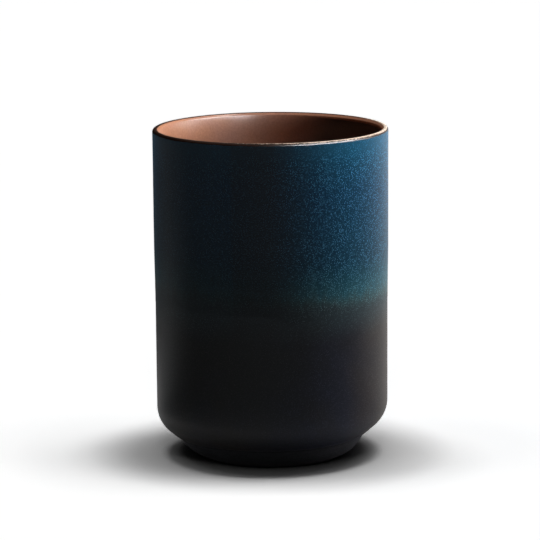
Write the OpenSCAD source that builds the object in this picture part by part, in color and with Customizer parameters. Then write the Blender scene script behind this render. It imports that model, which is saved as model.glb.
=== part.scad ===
// Tall handleless tea cup in stoneware: one turned clay body with three glazes fired onto it.
// The body is one revolve. Each glaze is a thin revolved shell between the surface it lies on
// and its own fired surface, so the four solids meet face to face and overlap nowhere.
// Millimetres, +Z up, origin on the table at the middle of the resting ring.

/* [Cup] */
// Height from the table to the top of the lip
cup_h = 98.5; // [80:0.2:120]
// Outside diameter of the glazed lip
lip_d = 70; // [62:0.5:84]
// Thickness of the glazed lip, which is fully round
lip_t = 2.7; // [2.4:0.1:4]
// How much smaller the radius of the wall is at its lower end than at the lip
wall_taper = 0.4; // [0:0.1:2]
// Thickness of the glazed wall at its lower end
wall_low_t = 3.4; // [2.8:0.1:5]
// Radius of the curve that turns the wall in under the cup
corner_r = 8.5; // [4:0.25:11]
// Angle of the sloping underside above level, between that curve and the foot
under_slope = 34; // [22:1:45]
// Radius of the curve between the wall and the floor inside
inner_corner_r = 9; // [5:0.5:12]
// Thickness of the clay floor above the recess
floor_t = 5; // [3.5:0.25:7]

/* [Foot] */
// Height of the foot, from the table to the line where the glaze ends
foot_h = 6.9; // [4:0.1:8.5]
// How far the top of the foot lies inside the wall
step_inset = 6.3; // [5:0.1:9]
// How far the resting edge lies inside the top of the foot
foot_inset = 7.4; // [3:0.1:9]
// How far the side of the foot swells beyond a straight slope
foot_bulge = 1.15; // [0:0.05:1.5]
// Width of the flat ring that the cup rests on
land_w = 3.2; // [2:0.2:5]
// Depth of the turned recess inside the resting ring
recess_depth = 3.2; // [2.2:0.1:4.5]
// Radius of the curve between the side and the ceiling of the recess
recess_r = 1.5; // [0.5:0.1:2]

/* [Glazes] */
// Thickness of the black base glaze on the outside
base_t = 0.3; // [0.2:0.05:0.5]
// Full thickness of the blue glaze over the base glaze
blue_t = 0.2; // [0.1:0.05:0.4]
// How far the liner glaze comes down the outside, from the top of the lip
lip_lap = 0.8; // [0.5:0.1:1.2]
// How far the blue glaze reaches down from the top of the lip
blue_drop = 53; // [35:1:62]
// Height over which the blue glaze thins out to its lower edge
feather_h = 18; // [8:1:24]
// Thickness that is left at the lower edge of the blue glaze
feather_t = 0.04; // [0.02:0.01:0.08]
// Thickness of the roll in which the base glaze ends above the foot
roll_t = 0.6; // [0.3:0.05:1]
// Width of the rounded edge of that roll
roll_w = 0.7; // [0.3:0.05:1.2]
// Length over which the roll thins out to the base glaze
roll_fade = 2.5; // [1:0.25:4]

/* [Hidden] */

// Fineness of the revolve, and counts of steps on the curves
turn_fn = 96;
lip_steps = 20;
corner_steps = 28;
foot_steps = 14;
cove_steps = 8;
roll_steps = 8;
feather_steps = 12;

// The liner is as thick as both outer glazes, so they are flush where they meet on the lip
coat_t = base_t + blue_t;
lip_r = lip_d / 2;
round_r = lip_t / 2;
round_c = [lip_r - round_r, cup_h - round_r];
lap_angle = asin((round_r - lip_lap) / round_r);

// Clay on the outside: top of the foot, sloping underside, bottom curve
wall_low_r = lip_r - wall_taper;
step = [wall_low_r - step_inset, foot_h];
clay_corner_r = corner_r - base_t;
corner_angle = under_slope - 90;
slope_end_r = wall_low_r - corner_r + clay_corner_r * cos(corner_angle);
slope_length = (slope_end_r - step[0]) / cos(under_slope);
corner_c = [
    wall_low_r - corner_r,
    foot_h + slope_length * sin(under_slope) - clay_corner_r * sin(corner_angle)];
under_length = slope_length - corner_angle * PI / 180 * clay_corner_r;
foot_r = step[0] - foot_inset;
land_in_r = foot_r - land_w;

// Inside
inner_low_r = wall_low_r - wall_low_t;
floor_z = recess_depth + floor_t + coat_t;
inner_c = [inner_low_r - inner_corner_r, floor_z + inner_corner_r];

// Lower edge of the blue glaze
blue_z = cup_h - blue_drop;

// Points of an arc round c, from angle a to angle b
function arc(c, r, a, b, steps) =
    [for (i = [0:steps]) c + r * [cos(a + (b - a) * i / steps), sin(a + (b - a) * i / steps)]];

// The same list of points, backwards
function back(points) = [for (i = [len(points) - 1:-1:0]) points[i]];

// The same list of points, without its first or its last
function tail(points) = [for (i = [1:len(points) - 1]) points[i]];
function head(points) = [for (i = [0:len(points) - 2]) points[i]];

// Points from p to q that swell by bulge to the right of the straight way
function swell(p, q, bulge, steps) =
    let (way = q - p, side = [way[1], -way[0]] / norm(way))
    [for (i = [0:steps]) p + way * i / steps + side * bulge * 4 * i / steps * (1 - i / steps)];

// Share of a full step, rising smoothly from 0 to 1
function ease_share(x) = (1 - cos(180 * max(0, min(1, x)))) / 2;

// Radius of the straight wall at height z, with a given depth below the fired surface at each end
function wall_r(z, low_depth, top_depth) =
    let (low = wall_low_r - low_depth, top = lip_r - top_depth)
    low + (top - low) * (z - corner_c[1]) / (round_c[1] - corner_c[1]);

// Lip from the lap line over the top and down the inside to the middle of the floor
function inside(depth) = concat(
    arc(round_c, round_r - depth, lap_angle, 180, lip_steps),
    arc(inner_c, inner_corner_r + depth, 0, -90, corner_steps),
    [[0, floor_z - depth]]);

// Outer side of the lip, from the top of the straight wall up to the lap line
function lip_outside(depth) = arc(round_c, round_r - depth, 0, lap_angle, cove_steps);

// Clay from the top of the foot up to the lap line
function clay_outside() = concat(
    [step],
    arc(corner_c, clay_corner_r, corner_angle, 0, corner_steps),
    lip_outside(coat_t));

// Side of the foot and the recess under it, from the middle of the recess to the top of the foot
function clay_foot() = concat(
    [[0, recess_depth]],
    arc([land_in_r - recess_r, recess_depth - recess_r], recess_r, 90, 0, cove_steps),
    [[land_in_r, 0]],
    swell([foot_r, 0], step, foot_bulge, foot_steps));

function clay_outline() = concat(head(clay_foot()), head(clay_outside()), inside(coat_t));

// Depth of the base glaze at a distance along the surface from its edge, beyond the rounded part
function roll_depth(s) = base_t + (roll_t - base_t) * (1 - ease_share((s - roll_w) / roll_fade));

// Point at a distance s along the clay from the top of the foot, with a given depth of glaze
function over_clay(s, depth) =
    let (a = corner_angle + max(0, s - slope_length) / clay_corner_r * 180 / PI,
        back = min(0, s - slope_length))
    corner_c + (clay_corner_r + depth) * [cos(a), sin(a)] + back * [-sin(a), cos(a)];

// Base glaze from its edge round the roll, up the wall and on to the lap line
function base_outside() = concat(
    [for (i = [0:roll_steps]) let (u = 90 * i / roll_steps)
        over_clay(roll_w * (1 - cos(u)), roll_t * sin(u))],
    [for (i = [1:corner_steps]) let (s = roll_w + (under_length - roll_w) * i / corner_steps)
        over_clay(s, roll_depth(s))],
    lip_outside(blue_t));

function base_outline() = concat(back(clay_outside()), tail(base_outside()));

// Depth of the blue glaze at height z
function blue_depth(z) = feather_t + (blue_t - feather_t) * ease_share((z - blue_z) / feather_h);

function blue_outline() = concat(
    [[wall_r(blue_z, 0, blue_t), blue_z]],
    lip_outside(blue_t),
    back(lip_outside(0)),
    [for (i = [feather_steps:-1:0]) let (z = blue_z + feather_h * i / feather_steps)
        [wall_r(z, 0, blue_t) + blue_depth(z), z]]);

module turned(outline) {
    rotate_extrude($fn = turn_fn) polygon(outline);
}

// Clay: wall, floor and foot in one piece, bare only on the foot and in its recess
module stoneware_body() {
    color("#26221f") turned(clay_outline());
}

// Brown satin glaze inside the cup, rolled over the lip
module liner_glaze() {
    color("#8f6b58") turned(concat(inside(0), back(inside(coat_t))));
}

// Black satin glaze over the whole outside, down to its roll above the foot
module base_glaze() {
    color("#1f1d20") turned(base_outline());
}

// Speckled blue glaze over the upper half of the base glaze, thinning out downwards
module blue_glaze() {
    color("#124a66") turned(blue_outline());
}

stoneware_body();
liner_glaze();
base_glaze();
blue_glaze();
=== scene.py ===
import math

import bmesh
import bpy
from mathutils import Matrix, Vector, noise


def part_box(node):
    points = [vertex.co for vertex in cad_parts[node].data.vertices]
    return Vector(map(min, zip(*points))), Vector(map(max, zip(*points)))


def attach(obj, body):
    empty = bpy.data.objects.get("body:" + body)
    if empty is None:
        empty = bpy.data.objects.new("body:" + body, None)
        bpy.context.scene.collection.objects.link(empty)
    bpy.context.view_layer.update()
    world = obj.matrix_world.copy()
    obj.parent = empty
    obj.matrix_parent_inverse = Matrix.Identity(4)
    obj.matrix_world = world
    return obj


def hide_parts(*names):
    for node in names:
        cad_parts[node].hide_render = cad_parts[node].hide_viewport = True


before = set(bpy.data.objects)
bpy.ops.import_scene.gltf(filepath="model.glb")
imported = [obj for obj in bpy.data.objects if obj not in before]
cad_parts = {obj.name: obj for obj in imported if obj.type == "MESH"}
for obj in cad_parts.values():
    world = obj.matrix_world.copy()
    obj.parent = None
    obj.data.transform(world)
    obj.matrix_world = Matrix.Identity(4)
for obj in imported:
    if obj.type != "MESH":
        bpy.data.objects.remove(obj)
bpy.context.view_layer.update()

# Body: dark stoneware clay, turned on the wheel in one piece and fired. Its wall and floor
# lie hidden between the glazes; the tapered foot, the flat ring that the cup stands on and
# the shallow recess inside that ring are left bare. All lengths here are in millimetres.
MM = 0.001

# Mesh: vertices round the cup, and rows that are finest where they show.
columns = 288
row_h = 0.7
foot_row_h = 0.4
hidden_row_h = 1.8
land_row_w = 0.8
recess_row_w = 1.2
crease = math.radians(38)

# Wall and coats, from the frame where it knows them.
cup_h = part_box("liner_glaze")[1].z / MM
lip_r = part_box("blue_glaze")[1].x / MM
coat_t = lip_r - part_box("stoneware_body")[1].x / MM
base_t = 0.3
blue_t = coat_t - base_t
wall_taper = 0.3

# Lip: a large outer round, a bevel, and a small inner round that flares out into the wall.
lip_low = 0.07
lip_round_r = 0.9
lip_bevel = math.radians(50)
lip_bevel_w = 0.45
lip_inner_r = 0.55
lip_flare = 0.6
flare_fade = 2.5
lap_drop = 0.74

# What makes it a hand-made cup: lip and bottom curve a little askew, a wobble and turning rings.
lip_tilt = 0.07
bottom_tilt = 0.85
wobble = 0.04
ring_depth = 0.022
ring_h = 2.6

# Bottom curve, foot, recess and inside.
bottom_curve_r = 8.5
under_slope = math.radians(34)
foot_h = 6.9
foot_step = 6.3
foot_inset = 7.4
foot_bulge = 1.15
land_w = 3.2
land_edge_r = 0.45
recess_h = 3.2
recess_curve_r = 1.5
floor_t = 5.0
wall_low_t = 3.4
inner_curve_r = 9.0

wall_low_r = lip_r - wall_taper
lip_c = (lip_r - lip_round_r, cup_h - lip_low - lip_round_r)
bevel_end_c = (
    lip_c[0] - (lip_round_r - lip_inner_r) * math.sin(lip_bevel) - lip_bevel_w * math.cos(lip_bevel),
    lip_c[1] + (lip_round_r - lip_inner_r) * math.cos(lip_bevel) - lip_bevel_w * math.sin(lip_bevel),
)
step_r = wall_low_r - foot_step
clay_curve_r = bottom_curve_r - base_t
slope_end_r = wall_low_r - bottom_curve_r + clay_curve_r * math.sin(under_slope)
slope_length = (slope_end_r - step_r) / math.cos(under_slope)
curve_c = (
    wall_low_r - bottom_curve_r,
    foot_h + slope_length * math.sin(under_slope) + clay_curve_r * math.cos(under_slope),
)
under_length = slope_length + (math.pi / 2 - under_slope) * clay_curve_r
foot_r = step_r - foot_inset
land_in_r = foot_r - land_w
floor_z = recess_h + floor_t + coat_t
inner_low_r = wall_low_r - wall_low_t
inner_c = (inner_low_r - inner_curve_r, floor_z + inner_curve_r)


def arc(centre, radius, start, end, steps):
    """Points of an arc round centre, from one angle in degrees to another."""
    turn = math.radians(end - start)
    angles = [math.radians(start) + turn * i / steps for i in range(steps + 1)]
    return [(centre[0] + radius * math.cos(a), centre[1] + radius * math.sin(a)) for a in angles]


def shares(length, spacing):
    """Shares from 0 to 1 that cut a length into even steps, no longer than spacing."""
    steps = max(1, math.ceil(length / spacing))
    return [i / steps for i in range(steps + 1)]


def waver(angle, height, across, up, seed):
    """Smooth noise from -1 to 1 round the cup, with features so many millimetres wide and high."""
    x, y = lip_r * math.cos(angle) / across, lip_r * math.sin(angle) / across
    return max(-1, min(1, 1.6 * noise.noise(Vector((x + seed, y - seed, height / up + seed)))))


def ease(x):
    """Smooth step from 0 to 1."""
    x = max(0, min(1, x))
    return x * x * (3 - 2 * x)


def lap_angle(angle):
    """Where on the round of the lip the outer glazes end and the liner begins, in degrees.

    The line wanders by 0.07 mm over stretches of 5 mm, and by 0.08 mm over stretches of 1.3 mm.
    """
    drop = lap_drop + 0.07 * waver(angle, 0, 5, 1, 3) + 0.08 * waver(angle, 0, 1.3, 1, 8)
    return math.degrees(math.asin((lip_round_r - drop) / lip_round_r))


def under(s, depth):
    """Point at a distance s along the clay from the top of the foot, under depth of glaze."""
    a = under_slope - math.pi / 2 + max(0, s - slope_length) / clay_curve_r
    short = min(0, s - slope_length)
    r = clay_curve_r + depth
    return (curve_c[0] + r * math.cos(a) - short * math.sin(a),
            curve_c[1] + r * math.sin(a) + short * math.cos(a))


def wall(z, low_depth, top_depth):
    """Point on the outer side of the wall, under depths of glaze given at both of its ends."""
    low, top = wall_low_r - low_depth, lip_r - top_depth
    return (low + (top - low) * (z - curve_c[1]) / (lip_c[1] - curve_c[1]), z)


def inside(depth, start, spacing):
    """Lip from an angle on its round, over the top, down inside and on to the middle of the floor."""
    turn = 90 + math.degrees(lip_bevel)
    end = 180 - math.degrees(math.atan(lip_flare / flare_fade))
    crest = arc(lip_c, lip_round_r - depth, start, turn, 18)
    crest += arc(bevel_end_c, lip_inner_r - depth, turn, end, 8)
    top_r, top_z = crest[-1]
    fall = top_z - inner_c[1]
    rest = top_r - depth - inner_low_r - lip_flare
    side = [(top_r - lip_flare * (1 - math.exp(-fall * t / flare_fade)) - rest * t, top_z - fall * t)
            for t in shares(fall, spacing)]
    floor = [(inner_c[0] * (1 - t), floor_z - depth) for t in shares(inner_c[0], spacing)]
    return crest + side[1:] + arc(inner_c, inner_curve_r + depth, 0, -90, 20)[1:] + floor[1:]


def hand(angle, z):
    """How far the turner's hand left the wall inside its true circle: a slow wobble and fine rings.

    Both fade out at the lip and at the foot.
    """
    slow = wobble * (1 + waver(angle, z, 40, 30, 5)) / 2
    rings = ring_depth * (1 + waver(angle, z, 50, ring_h, 11)) / 2
    fade = min(1, max(0, cup_h - z - 1.5) / 6) * min(1, max(0, z - foot_h) / 6)
    return -(slow + rings) * fade


def tilt(angle, z):
    """How far the bottom curve and the lip stand too high at one side and too low at the other.

    The first fades out from 20 to 40 mm up, and the second grows from 60 mm up to the lip.
    """
    bottom = bottom_tilt * math.cos(angle) ** 3 * ease(z / foot_h) * (1 - ease((z - 20) / 20))
    return bottom + lip_tilt * math.cos(angle) * ease((z - 60) / 38)


def turned(name, outline_at, closed):
    """Mesh piece from one outline for each angle: rings of vertices, or one vertex on the axis."""
    made = bmesh.new()
    angles = [2 * math.pi * i / columns for i in range(columns)]
    outlines = [outline_at(a) for a in angles]
    rows = []
    for j, (r, z) in enumerate(outlines[0]):
        if r < 1e-9:
            rows.append([made.verts.new((0, 0, z * MM))])
            continue
        ring = []
        for a, outline in zip(angles, outlines):
            r, z = outline[j]
            r, z = r + hand(a, z), z + tilt(a, z)
            ring.append(made.verts.new((r * math.cos(a) * MM, r * math.sin(a) * MM, z * MM)))
        rows.append(ring)
    pairs = list(zip(rows, rows[1:])) + ([(rows[-1], rows[0])] if closed else [])
    for low, high in pairs:
        for i in range(columns):
            k = (i + 1) % columns
            corners = [low[i % len(low)], low[k % len(low)], high[k % len(high)], high[i % len(high)]]
            corners = list(dict.fromkeys(corners))
            if len(corners) > 2:
                made.faces.new(corners)
    bmesh.ops.recalc_face_normals(made, faces=made.faces)
    for face in made.faces:
        face.smooth = True
    for edge in made.edges:
        edge.smooth = edge.calc_face_angle(0) < crease
    mesh = bpy.data.meshes.new(name)
    made.to_mesh(mesh)
    made.free()
    piece = bpy.data.objects.new(name, mesh)
    bpy.context.scene.collection.objects.link(piece)
    return piece


def colour(code):
    """Linear RGBA of an sRGB hex colour."""
    values = [int(code[i:i + 2], 16) / 255 for i in (1, 3, 5)]
    return tuple(v / 12.92 if v <= 0.04045 else ((v + 0.055) / 1.055) ** 2.4 for v in values) + (1,)


def add(tree, kind, inputs, **settings):
    """Adds a node with its settings; inputs holds values, or sockets of other nodes to link."""
    made = tree.nodes.new(kind)
    for name, value in settings.items():
        setattr(made, name, value)
    for socket, value in inputs.items():
        if isinstance(value, bpy.types.NodeSocket):
            tree.links.new(value, made.inputs[socket])
        else:
            made.inputs[socket].default_value = value
    return made


def material_tree(piece, name):
    """The empty node tree of a new material on the piece."""
    made = bpy.data.materials.new(name)
    made.use_nodes = True
    made.node_tree.nodes.clear()
    piece.data.materials.append(made)
    return made.node_tree


def place_mm(tree):
    """The point on the surface, in millimetres."""
    point = add(tree, "ShaderNodeTexCoord", {}).outputs["Object"]
    scaled = add(tree, "ShaderNodeVectorMath", {0: point, "Scale": 1 / MM}, operation="SCALE")
    return scaled.outputs["Vector"]


def clay_outline(angle):
    """Outline of the clay: recess, ring, bulging foot, then up under the glazes and down inside."""
    way = (step_r - foot_r, foot_h)
    length = math.hypot(*way)
    out = (way[1] / length, -way[0] / length)
    foot = [(foot_r + way[0] * t + out[0] * foot_bulge * 4 * t * (1 - t),
             way[1] * t + out[1] * foot_bulge * 4 * t * (1 - t))
            for t in shares(length, foot_row_h)]
    foot = [(r, z) for r, z in foot if z > land_edge_r * 0.6]
    recess_flat_r = land_in_r - recess_curve_r
    recess = [(recess_flat_r * t, recess_h) for t in shares(recess_flat_r, recess_row_w)]
    land_flat_w = land_w - 2 * land_edge_r
    land = [(land_in_r + land_edge_r + land_flat_w * t, 0) for t in shares(land_w, land_row_w)]
    hidden = [under(under_length * t, 0) for t in shares(under_length, hidden_row_h)]
    rise = lip_c[1] - curve_c[1]
    hidden += [wall(curve_c[1] + rise * t, base_t, coat_t) for t in shares(rise, hidden_row_h)][1:]
    hidden += arc(lip_c, lip_round_r - coat_t, 0, lap_angle(angle), 6)[1:]
    return (recess
            + arc((recess_flat_r, recess_h - recess_curve_r), recess_curve_r, 90, 0, 8)[1:]
            + arc((land_in_r + land_edge_r, land_edge_r), land_edge_r, 180, 270, 6)
            + land[1:] + foot + hidden[1:] + inside(coat_t, lap_angle(angle), hidden_row_h)[1:])


body = turned("stoneware_body_visual", clay_outline, False)

# Unglazed dark stoneware: dull and gritty, with fine trimming rings that catch low light.
# The wave texture draws 20 / (2 pi) rings to a millimetre at scale 1, so 0.7 mm apart at 0.45.
patch_w = 7
grit_w = 0.5
ring_scale = 0.45
tree = material_tree(body, "Dark stoneware, turned and left bare")
point = place_mm(tree)
patches = add(tree, "ShaderNodeTexNoise", {"Vector": point, "Scale": 1 / patch_w, "Detail": 3})
clay = add(tree, "ShaderNodeMix", {0: patches.outputs["Fac"], "A": colour("#1a1a1d"),
                                   "B": colour("#27262b")}, data_type="RGBA")
grit = add(tree, "ShaderNodeTexVoronoi", {"Vector": point, "Scale": 1 / grit_w})
grain = add(tree, "ShaderNodeSeparateColor", {0: grit.outputs["Color"]}).outputs["Red"]
gain = add(tree, "ShaderNodeMapRange", {"Value": grain, "To Min": 0.75, "To Max": 1.25}).outputs["Result"]
clay = add(tree, "ShaderNodeVectorMath", {0: clay.outputs["Result"], "Scale": gain}, operation="SCALE")
rings = add(tree, "ShaderNodeTexWave", {"Vector": point, "Scale": ring_scale, "Distortion": 0.6,
                                       "Detail": 1}, wave_type="RINGS", rings_direction="Z")
rough = add(tree, "ShaderNodeMath", {0: grain, 1: rings.outputs["Fac"]}, operation="ADD")
relief = add(tree, "ShaderNodeBump", {"Height": rough.outputs[0], "Distance": 0.00003})
shader = add(tree, "ShaderNodeBsdfPrincipled", {"Base Color": clay.outputs[0], "Roughness": 0.85,
                                                "Specular IOR Level": 0.15, "Normal": relief.outputs[0]})
add(tree, "ShaderNodeOutputMaterial", {"Surface": shader.outputs["BSDF"]})
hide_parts("stoneware_body")
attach(body, "root")

# Liner: one coat of brown glaze, poured into the cup and out again, then wiped over the
# round of the lip, where it ends in an uneven line on the outer side.


def liner_outline(angle):
    """Outline of the liner: along its shining side from the lap to the floor, and back behind it."""
    return (inside(0, lap_angle(angle), row_h)
            + inside(coat_t, lap_angle(angle), hidden_row_h)[::-1])


liner = turned("liner_glaze_visual", liner_outline, True)

# Iron-brown satin glaze: soft, wide highlights over a warm clay brown, which drifts between
# orange and rose in clouds of about 9 mm; the pale line on its lip is partly the glaze breaking
# thin and pale, partly painted highlight. Deeper down, and higher up at the right, it is painted
# dark brown as shade, where the inside of the cup is turned from the light. The two meet along
# a plane that climbs to the right, so much for each millimetre.
liner_cloud_w = 9
mottle_w = 0.6
painted_shade_climb = 1.6
tree = material_tree(liner, "Brown satin liner glaze")
point = place_mm(tree)
clouds = add(tree, "ShaderNodeTexNoise", {"Vector": point, "Scale": 1 / liner_cloud_w, "Detail": 4})
brown = add(tree, "ShaderNodeMix", {0: clouds.outputs["Fac"], "A": colour("#b57c58"),
                                    "B": colour("#ab7a68")}, data_type="RGBA").outputs["Result"]
# Painted shade: dark brown deeper down and higher up at the right, where light doesn't reach inside.
height = add(tree, "ShaderNodeVectorMath", {0: point, 1: (-painted_shade_climb, 0, 1)}, operation="DOT_PRODUCT")
thin = add(tree, "ShaderNodeMapRange", {"Value": height.outputs["Value"], "From Min": cup_h - 36,
                                        "From Max": cup_h - 8}, interpolation_type="SMOOTHSTEP")
true_height = add(tree, "ShaderNodeSeparateXYZ", {0: point}).outputs["Z"]
rim = add(tree, "ShaderNodeMapRange", {"Value": true_height, "From Min": cup_h - 1.6,
                                       "From Max": cup_h - 1})
thin = add(tree, "ShaderNodeMath", {0: thin.outputs["Result"], 1: rim.outputs["Result"]},
           operation="MAXIMUM")
# Painted shade colour for the inside turned from the light; the band just under the rim keeps its brown.
brown = add(tree, "ShaderNodeMix", {0: thin.outputs[0], "A": colour("#483b32"), "B": brown},
            data_type="RGBA").outputs["Result"]
fine = add(tree, "ShaderNodeTexNoise", {"Vector": point, "Scale": 1 / mottle_w, "Detail": 1})
gain = add(tree, "ShaderNodeMapRange", {"Value": fine.outputs["Fac"], "To Min": 0.8, "To Max": 1.2})
brown = add(tree, "ShaderNodeVectorMath", {0: brown, "Scale": gain.outputs["Result"]}, operation="SCALE")
flat = add(tree, "ShaderNodeVectorMath", {0: point, 1: (1, 1, 0)}, operation="MULTIPLY")
radius = add(tree, "ShaderNodeVectorMath", {0: flat.outputs[0]}, operation="LENGTH").outputs["Value"]
lip_shade_and_highlight = add(tree, "ShaderNodeMapRange", {"Value": radius, "From Min": lip_c[0] - 0.65,
                                         "From Max": lip_c[0] - 0.45})
# The top and the outer round of the lip are painted dark as shade. Over the front and the right,
# the side towards the light, the crest is painted as a pale, broken line: partly the glaze
# breaking pale, partly painted highlight.
pale_line_and_highlight = add(tree, "ShaderNodeVectorMath", {0: point, 1: (0.27 / lip_r, -0.2 / lip_r, 1)},
           operation="DOT_PRODUCT")
pale_line_and_highlight = add(tree, "ShaderNodeMath", {0: fine.outputs["Fac"], 1: 0.6, 2: pale_line_and_highlight.outputs["Value"]},
           operation="MULTIPLY_ADD")
pale_line_and_highlight = add(tree, "ShaderNodeMath", {0: pale_line_and_highlight.outputs[0], 1: 0.3}, operation="SUBTRACT")
crest = add(tree, "ShaderNodeMapRange", {"Value": pale_line_and_highlight.outputs[0], "From Min": cup_h + 0.02,
                                         "From Max": cup_h + 0.16})
# Painted shade (dark) and the pale line that is partly painted highlight, on the lip.
edge = add(tree, "ShaderNodeMix", {0: crest.outputs["Result"], "A": colour("#32211a"),
                                   "B": colour("#e2cab4")}, data_type="RGBA")
skin = add(tree, "ShaderNodeMix", {0: lip_shade_and_highlight.outputs["Result"], "A": brown.outputs[0],
                                   "B": edge.outputs["Result"]}, data_type="RGBA")
dull = add(tree, "ShaderNodeMapRange", {"Value": clouds.outputs["Fac"], "To Min": 0.26, "To Max": 0.34})
relief = add(tree, "ShaderNodeBump", {"Height": fine.outputs["Fac"], "Distance": 0.000012})
shader = add(tree, "ShaderNodeBsdfPrincipled", {
    "Base Color": skin.outputs["Result"], "Roughness": dull.outputs["Result"],
    "Specular IOR Level": 0.1, "Normal": relief.outputs[0]})
add(tree, "ShaderNodeOutputMaterial", {"Surface": shader.outputs["BSDF"]})
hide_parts("liner_glaze")
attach(liner, "root")

# Base glaze: the cup is held by its foot and dipped upside down into a black glaze, which
# covers the whole outside and ends above the foot in a soft rolled edge.
roll_t = 0.6
roll_w = 0.7
roll_fade = 2.5
roll_row_h = 0.5


def base_outline(angle):
    """Outline of the black coat: round its rolled edge, up the outside to the lap, and back behind.

    The roll wanders by up to 0.3 mm, and its thickness by an eighth.
    """
    start = 0.15 * (1 + waver(angle, 0, 9, 1, 21))
    thick = roll_t * (1 + 0.12 * waver(angle, 0, 7, 1, 25))
    quarter = [math.pi / 2 * i / 8 for i in range(9)]
    roll = [under(start + roll_w * (1 - math.cos(u)), thick * math.sin(u)) for u in quarter]
    rest = under_length - start - roll_w
    curve = [start + roll_w + rest * t for t in shares(under_length - roll_w, roll_row_h)][1:]
    skin = [under(s, base_t + (thick - base_t) * (1 - ease((s - start - roll_w) / roll_fade)))
            for s in curve]
    rise = lip_c[1] - curve_c[1]
    skin += [wall(curve_c[1] + rise * t, 0, blue_t) for t in shares(rise, row_h)][1:]
    skin += arc(lip_c, lip_round_r - blue_t, 0, lap_angle(angle), 8)[1:]
    back = [under(start + (under_length - start) * t, 0) for t in shares(under_length, hidden_row_h)]
    back += [wall(curve_c[1] + rise * t, base_t, coat_t) for t in shares(rise, hidden_row_h)][1:]
    back += arc(lip_c, lip_round_r - coat_t, 0, lap_angle(angle), 6)[1:]
    return roll + skin + back[::-1][:-1]


base = turned("base_glaze_visual", base_outline, True)
black_cloud_w = 14
speck_w = 0.3


def black_skin(tree, point):
    """Colour of the black glaze: warm black that drifts to indigo in clouds.

    It is browner and paler at the far right, partly the glaze's own brown and partly a painted
    warm sheen where the edge turns to the light, and stained slate blue near the border with the
    blue glaze, from 38 mm up to 50 mm.
    """
    clouds = add(tree, "ShaderNodeTexNoise", {"Vector": point, "Scale": 1 / black_cloud_w, "Detail": 3})
    drift = add(tree, "ShaderNodeVectorMath", {0: point, 1: (0.014, 0, -0.006)}, operation="DOT_PRODUCT")
    share = add(tree, "ShaderNodeMath", {0: clouds.outputs["Fac"], 1: drift.outputs["Value"]},
                operation="ADD")
    share = add(tree, "ShaderNodeMapRange", {"Value": share.outputs[0], "From Min": 0.1, "From Max": 0.75})
    black = add(tree, "ShaderNodeMix", {0: share.outputs["Result"], "A": colour("#1e1c1a"),
                                        "B": colour("#1e202b")}, data_type="RGBA").outputs["Result"]
    place = add(tree, "ShaderNodeSeparateXYZ", {0: point})
    # Painted sheen, partly real brown: the right edge turns browner and paler.
    aside = add(tree, "ShaderNodeMath", {0: clouds.outputs["Fac"], 1: 14.0, 2: place.outputs["X"]},
                operation="MULTIPLY_ADD")
    aside = add(tree, "ShaderNodeMapRange", {"Value": aside.outputs[0], "From Min": 26, "From Max": 44},
                interpolation_type="SMOOTHSTEP").outputs["Result"]
    black = add(tree, "ShaderNodeMix", {0: aside, "A": black, "B": colour("#302a26")},
                data_type="RGBA").outputs["Result"]
    height = add(tree, "ShaderNodeMath", {0: clouds.outputs["Fac"], 1: 6.0, 2: place.outputs["Z"]},
                 operation="MULTIPLY_ADD")
    stain = add(tree, "ShaderNodeMapRange", {"Value": height.outputs[0], "From Min": 41, "From Max": 53},
                interpolation_type="SMOOTHSTEP").outputs["Result"]
    return add(tree, "ShaderNodeMix", {0: stain, "A": black, "B": colour("#2d3a3f")},
               data_type="RGBA").outputs["Result"]


def speckle(tree, point):
    """Strength of the glaze's grain: low between the dots, high on a few, and about 1 on average.

    The real dots are finer still. They are drawn as coarse as they need to be to show.
    """
    cells = add(tree, "ShaderNodeTexVoronoi", {"Vector": point, "Scale": 1 / speck_w})
    lot = add(tree, "ShaderNodeSeparateColor", {0: cells.outputs["Color"]}).outputs["Red"]
    lot = add(tree, "ShaderNodeMath", {0: lot, 1: 2.0}, operation="POWER").outputs[0]
    dot = add(tree, "ShaderNodeMapRange", {"Value": cells.outputs["Distance"], "From Min": 0.15,
                                           "From Max": 0.55, "To Min": 1.0, "To Max": 0.0},
              interpolation_type="SMOOTHSTEP")
    lot = add(tree, "ShaderNodeMath", {0: lot, 1: dot.outputs["Result"]}, operation="MULTIPLY").outputs[0]
    return add(tree, "ShaderNodeMapRange", {"Value": lot, "To Min": 0.55, "To Max": 5.7}).outputs["Result"]


# Black matt glaze: almost no highlight from the front, a pale sheen where it turns away.
tree = material_tree(base, "Black matt glaze")
point = place_mm(tree)
specks = speckle(tree, point)
gain = add(tree, "ShaderNodeMix", {0: 0.4, "A": 1.0, "B": specks}, data_type="FLOAT")
skin = add(tree, "ShaderNodeVectorMath", {0: black_skin(tree, point), "Scale": gain.outputs["Result"]},
           operation="SCALE")
shader = add(tree, "ShaderNodeBsdfPrincipled", {"Base Color": skin.outputs[0], "Roughness": 0.55,
                                                "Specular IOR Level": 0.155})
add(tree, "ShaderNodeOutputMaterial", {"Surface": shader.outputs["BSDF"]})
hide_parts("base_glaze")
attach(base, "root")

# Blue glaze: sprayed over the upper half of the black one while the cup turned, from the lip
# down. It thins out to nothing, so its lower edge is soft, uneven, slanting and slightly run.
blue_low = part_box("blue_glaze")[0].z / MM
feather_h = 18
feather_t = 0.04


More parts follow.
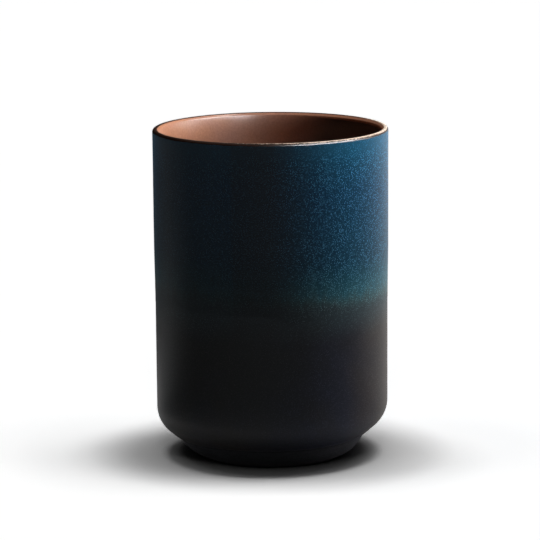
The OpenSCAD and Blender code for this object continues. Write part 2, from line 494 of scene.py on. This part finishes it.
def blue_outline(angle):
    """Outline of the blue coat: from its thin lower edge up the outside to the lap, and back.

    The lower edge wanders by up to 3.8 mm.
    """
    low = blue_low + 1.6 * (1 + waver(angle, 0, 16, 1, 31)) + 0.3 * (1 + waver(angle, 0, 2.2, 1, 37))
    rise = lip_c[1] - low
    heights = [low + rise * t for t in shares(lip_c[1] - blue_low, row_h)]
    back = [wall(z, 0, blue_t) for z in heights]
    back += arc(lip_c, lip_round_r - blue_t, 0, lap_angle(angle), 8)[1:]
    thick = [feather_t + (blue_t - feather_t) * ease((z - low) / feather_h) for z in heights]
    skin = [(r + t, z) for (r, z), t in zip(back, thick)]
    return skin + arc(lip_c, lip_round_r, 0, lap_angle(angle), 8)[1:] + back[::-1]


blue = turned("blue_glaze_visual", blue_outline, True)

# Speckled cobalt matt glaze. Down the wall it goes from teal blue through deep blue and a thin
# grey-green border into the black. Wide and narrow runs are drawn out five to one downwards.
run_w = 5
narrow_run_w = 1.1
drawn_out = 5
tree = material_tree(blue, "Blue speckled matt glaze")
point = place_mm(tree)
drawn = add(tree, "ShaderNodeVectorMath", {0: point, 1: (1, 1, 1 / drawn_out)},
            operation="MULTIPLY").outputs[0]
runs = add(tree, "ShaderNodeTexNoise", {"Vector": drawn, "Scale": 1 / run_w, "Detail": 2})
runs = runs.outputs["Fac"]
comb = add(tree, "ShaderNodeTexNoise", {"Vector": drawn, "Scale": 1 / narrow_run_w, "Detail": 1})
comb = comb.outputs["Fac"]
specks = speckle(tree, point)
# The height that sets the colour. Runs and dots shift it, and so does the slant of the border,
# which lies 1 mm lower at the right than in the middle.
level = add(tree, "ShaderNodeVectorMath", {0: point, 1: (1 / lip_r, 0, 1)}, operation="DOT_PRODUCT")
level = add(tree, "ShaderNodeMath", {0: runs, 1: 6.0, 2: level.outputs["Value"]}, operation="MULTIPLY_ADD")
level = add(tree, "ShaderNodeMath", {0: comb, 1: 3.0, 2: level.outputs[0]}, operation="MULTIPLY_ADD")
level = add(tree, "ShaderNodeMath", {0: specks, 1: 0.3, 2: level.outputs[0]}, operation="MULTIPLY_ADD")
level = add(tree, "ShaderNodeMath", {0: level.outputs[0], 1: 4.8}, operation="SUBTRACT").outputs[0]
# Heights above the table, in millimetres, and the colour of the blue coat there.
ramp_low = 40
ramp_high = 100
share = add(tree, "ShaderNodeMapRange", {"Value": level, "From Min": ramp_low, "From Max": ramp_high})
blues = add(tree, "ShaderNodeValToRGB", {"Fac": share.outputs["Result"]})
stops = ((49, "#33464b"), (51.5, "#345358"), (54.5, "#275461"), (58, "#1b4d5e"), (63, "#0b425a"),
         (84, "#064768"), (95, "#115b7d"))
ramp = blues.color_ramp.elements
for number, (height, code) in enumerate(stops):
    stop = ramp[number] if number < 2 else ramp.new(1)
    stop.position = (height - ramp_low) / (ramp_high - ramp_low)
    stop.color = colour(code)
# The coat covers the black from the border up. At the left, away from the light, it covers a
# little less, so that side is darker: painted shade.
cover = add(tree, "ShaderNodeMapRange", {"Value": level, "From Min": 48.3, "From Max": 53.5},
            interpolation_type="SMOOTHSTEP").outputs["Result"]
place = add(tree, "ShaderNodeSeparateXYZ", {0: point})
# Painted shade: the cover falls to 0.8 towards the left.
thinner = add(tree, "ShaderNodeMapRange", {"Value": place.outputs["X"], "From Min": -28, "From Max": 8,
                                           "To Min": 0.8}, interpolation_type="SMOOTHSTEP")
thinner = thinner.outputs["Result"]
cover = add(tree, "ShaderNodeMath", {0: cover, 1: thinner}, operation="MULTIPLY").outputs[0]
skin = add(tree, "ShaderNodeMix", {0: cover, "A": black_skin(tree, point), "B": blues.outputs["Color"]},
           data_type="RGBA").outputs["Result"]
# The dots fade towards the border, towards the left and just under the lip.
strength = add(tree, "ShaderNodeMapRange", {"Value": level, "From Min": 50, "From Max": 64, "To Min": 0.4})
to_left = add(tree, "ShaderNodeMapRange", {"Value": place.outputs["X"], "From Min": -25, "From Max": 14,
                                           "To Min": 0.35})
strength = add(tree, "ShaderNodeMath", {0: strength.outputs["Result"], 1: to_left.outputs["Result"]},
               operation="MULTIPLY")
to_lip = add(tree, "ShaderNodeMapRange", {"Value": place.outputs["Z"], "From Min": 96, "From Max": 91,
                                          "To Min": 0.4})
strength = add(tree, "ShaderNodeMath", {0: strength.outputs[0], 1: to_lip.outputs["Result"]},
               operation="MULTIPLY")
gain = add(tree, "ShaderNodeMix", {0: strength.outputs[0], "A": 1.0, "B": specks}, data_type="FLOAT")
skin = add(tree, "ShaderNodeVectorMath", {0: skin, "Scale": gain.outputs["Result"]}, operation="SCALE")
# The brighter a dot, the more grey it takes up besides its blue.
pale = add(tree, "ShaderNodeMath", {0: gain.outputs["Result"], 1: 0.07, 2: -0.05},
           operation="MULTIPLY_ADD", use_clamp=True)
skin = add(tree, "ShaderNodeVectorMath", {0: pale.outputs[0], 1: colour("#9aa3a6")[:3], 2: skin.outputs[0]},
           operation="MULTIPLY_ADD")
dull = add(tree, "ShaderNodeMapRange", {"Value": cover, "To Min": 0.55, "To Max": 0.5}).outputs["Result"]
shader = add(tree, "ShaderNodeBsdfPrincipled", {"Base Color": skin.outputs[0], "Roughness": dull,
                                                "Specular IOR Level": 0.12})
add(tree, "ShaderNodeOutputMaterial", {"Surface": shader.outputs["BSDF"]})
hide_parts("blue_glaze")
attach(blue, "root")

# Floor: a plain sheet of pale paper, wide enough to pass out of every view. It shows white to
# the camera and in gloss, but throws little light back, so that the cup keeps its dark side.
# The lengths from here on are in metres.
floor_half = 4.0
contact_shadow_reach = 0.025
paper_seen = 2.04
paper_other = 0.03
ground = bmesh.new()
bmesh.ops.create_grid(ground, x_segments=1, y_segments=1, size=floor_half)
sheet = bpy.data.meshes.new("floor")
ground.to_mesh(sheet)
ground.free()
floor = bpy.data.objects.new("floor", sheet)
bpy.context.scene.collection.objects.link(floor)


def seen_directly(tree):
    """1 for what the camera sees, straight or in gloss or through glass, and 0 for other light."""
    rays = add(tree, "ShaderNodeLightPath", {})
    seen = rays.outputs["Is Camera Ray"]
    for name in ("Is Glossy Ray", "Is Transmission Ray"):
        seen = add(tree, "ShaderNodeMath", {0: seen, 1: rays.outputs[name]}, operation="MAXIMUM").outputs[0]
    return seen


# Uncoated white paper: dull and even. Round the foot, an ambient-occlusion node paints a contact
# shadow into the white it shows. Its lamps light it at about half of white, so it takes twice a
# white colour to be seen as white.
tree = material_tree(floor, "Plain pale paper")
# Painted contact shadow: darker where the cup crowds the paper.
painted_contact_shadow = add(tree, "ShaderNodeAmbientOcclusion", {"Distance": contact_shadow_reach}, samples=16).outputs["AO"]
painted_contact_shadow = add(tree, "ShaderNodeMath", {0: painted_contact_shadow, 1: 1.2}, operation="POWER").outputs[0]
shown = add(tree, "ShaderNodeMath", {0: painted_contact_shadow, 1: paper_seen}, operation="MULTIPLY").outputs[0]
paper = add(tree, "ShaderNodeMix", {0: seen_directly(tree), "A": paper_other, "B": shown},
            data_type="FLOAT")
shader = add(tree, "ShaderNodeBsdfDiffuse", {"Color": paper.outputs["Result"]})
add(tree, "ShaderNodeOutputMaterial", {"Surface": shader.outputs["BSDF"]})

# Flags: black cards that only the gloss of the cup sees. A bent one stands close behind the
# cup, at its left. A wide one lies just above the floor and rises behind the camera, as a dark
# room would, so that the white surroundings shine in the glaze at the cup's right edge alone.
close_line = [(0.03, 0.10), (-0.30, 0.10), (-0.30, -0.10)]
close_low = 0.006
close_high = 0.35
near_r = 0.042
far_r = 1.6
room_low = 0.012
room_high = 6.0
bends = [math.radians(a) for a in range(-94, 98, 12)]
near_line = [(near_r * math.sin(a), -near_r * math.cos(a)) for a in bends]
far_line = [(far_r * math.sin(a), -far_r * math.cos(a)) for a in bends]
flags = {
    "flag_close": [[(x, y, close_low) for x, y in close_line], [(x, y, close_high) for x, y in close_line]],
    "flag_room": [[(x, y, room_low) for x, y in near_line], [(x, y, room_low) for x, y in far_line],
                  [(x, y, room_high) for x, y in far_line]],
}
for name, lines in flags.items():
    card = bmesh.new()
    rows = [[card.verts.new(place) for place in line] for line in lines]
    for low, high in zip(rows, rows[1:]):
        for i in range(len(low) - 1):
            card.faces.new((low[i], low[i + 1], high[i + 1], high[i]))
    mesh = bpy.data.meshes.new(name)
    card.to_mesh(mesh)
    card.free()
    flag = bpy.data.objects.new(name, mesh)
    bpy.context.scene.collection.objects.link(flag)
    flag.visible_camera = flag.visible_diffuse = flag.visible_shadow = False
    # Matt black card: takes up what falls on it, so it leaves the glaze dark.
    tree = material_tree(flag, "Black card")
    shader = add(tree, "ShaderNodeBsdfDiffuse", {"Color": colour("#0c0c0c")})
    add(tree, "ShaderNodeOutputMaterial", {"Surface": shader.outputs["BSDF"]})

# Lamps: soft boxes low at the right and behind light the matt glazes without showing in them,
# and dim ones all round give them a faint sheen and no more. The liner has three of its own,
# one for its highlight. A row of soft lamps overhead lights nothing but the floor.


def only(name, pieces):
    """A collection that a lamp is bound to, so that it lights these pieces alone."""
    made = bpy.data.collections.new(name)
    for piece in pieces:
        made.objects.link(piece)
    return made


glazed_outside = only("lit_outside", (body, base, blue))
lined_inside = only("lit_inside", (liner,))
paper_only = only("lit_floor", (floor,))


mid_cup = Vector((0, 0, 0.05))
box_distance = 1.2


def hang(name, lamp, way, distance, lights):
    """Hangs a lamp at a distance from the middle of the cup, turned towards it."""
    made = bpy.data.objects.new(name, lamp)
    made.location = way.normalized() * distance + mid_cup
    made.rotation_mode = "QUATERNION"
    made.rotation_quaternion = way.to_track_quat("Z", "Y")
    made.light_linking.receiver_collection = lights
    made.visible_camera = False
    bpy.context.scene.collection.objects.link(made)
    return made


def softbox(name, azimuth, elevation, size, level, lights):
    """Softbox at an azimuth, 0 in front and 90 at the right, and an elevation, in degrees.

    A surface that faces it at level 1 shows its colour as written.
    """
    lamp = bpy.data.lights.new(name, "AREA")
    lamp.shape = "RECTANGLE"
    lamp.size, lamp.size_y = size
    lamp.energy = level * math.pi ** 2 * box_distance ** 2
    a, e = math.radians(azimuth), math.radians(elevation)
    way = Vector((math.sin(a) * math.cos(e), -math.cos(a) * math.cos(e), math.sin(e)))
    return hang(name, lamp, way, box_distance, lights)


matt_key = softbox("key_for_matt_glazes", 100, 18, (0.7, 0.7), 1.4, glazed_outside)
matt_key.visible_glossy = False
back_key = softbox("back_key_for_matt_glazes", -165, 20, (0.7, 0.7), 1.3, glazed_outside)
back_key.visible_glossy = False
# Name, azimuth and level.
hazes = (("haze_back_left", -135, 0.6), ("haze_left", -60, 0.55), ("haze_front", 0, 0.75),
         ("haze_right", 60, 0.6), ("haze_back_right", 145, 1.2))
warm_white = (1, 0.95, 0.88)
cool_white = (0.88, 0.94, 1)
for name, azimuth, level in hazes:
    haze = softbox(name, azimuth, 2, (1.2, 1.2), level, glazed_outside)
    haze.visible_diffuse = False
    haze.data.color = warm_white if azimuth > 90 else cool_white
softbox("key_for_liner", 98, 11, (0.7, 0.4), 1.1, lined_inside)
softbox("top_for_liner", 90, 66, (0.2, 0.2), 0.95, lined_inside)
gloss = softbox("gloss_for_liner", 60, 34, (1.5, 0.4), 20.0, lined_inside)
gloss.visible_diffuse = False
gloss.data.color = (0.9, 0.94, 1)

# Degrees aside and back from straight overhead, and share of the light on the floor.
overhead = ((-28, -3, 0.06), (-12, 6, 0.24), (0, -50, 0.06), (10, 0, 0.28), (10, 6, 0.12), (20, 6, 0.15),
            (28, -6, 0.07))
overhead_distance = 1.5
floor_level = 0.5
sun_spread = math.radians(14)
for number, (aside, back, part) in enumerate(overhead):
    lamp = bpy.data.lights.new("overhead_%d" % number, "SUN")
    way = Vector((math.tan(math.radians(aside)), math.tan(math.radians(back)), 1))
    lamp.energy = floor_level * part * math.pi * way.length
    lamp.angle = sun_spread
    hang(lamp.name, lamp, way, overhead_distance, paper_only)

# World: white surroundings, as in a light tent. They show white to the camera and in gloss,
# and light the cup itself only a little.
world = bpy.data.worlds.new("studio")
world.use_nodes = True
bpy.context.scene.world = world
tree = world.node_tree
tree.nodes.clear()
white = 1.0
faint = 0.005
strength = add(tree, "ShaderNodeMix", {0: seen_directly(tree), "A": faint, "B": white}, data_type="FLOAT")
sky = add(tree, "ShaderNodeBackground", {"Strength": strength.outputs["Result"]})
add(tree, "ShaderNodeOutputWorld", {"Surface": sky.outputs["Background"]})

# Camera: a long lens, a little above the cup and tilted down at it, very slightly askew. Its
# focal length and its shift aside are in pixels of the frame, and its angles in degrees.
focal_px = 3063
frame_px = 540
aside_px = 1.29
distance = 0.9
height = 0.2233
down = 10.57
askew = 0.42
lens = bpy.data.cameras.new("camera")
lens.sensor_width = 36
lens.lens = lens.sensor_width * focal_px / frame_px
lens.clip_end = 20
lens.shift_x = -aside_px / frame_px
camera = bpy.data.objects.new("camera", lens)
camera.location = (0, -distance, height)
camera.rotation_mode = "QUATERNION"
turn = Matrix.Rotation(math.radians(90 - down), 3, "X") @ Matrix.Rotation(math.radians(-askew), 3, "Z")
camera.rotation_quaternion = turn.to_quaternion()
bpy.context.scene.collection.objects.link(camera)
bpy.context.scene.camera = camera
bpy.context.scene.view_settings.view_transform = "Standard"
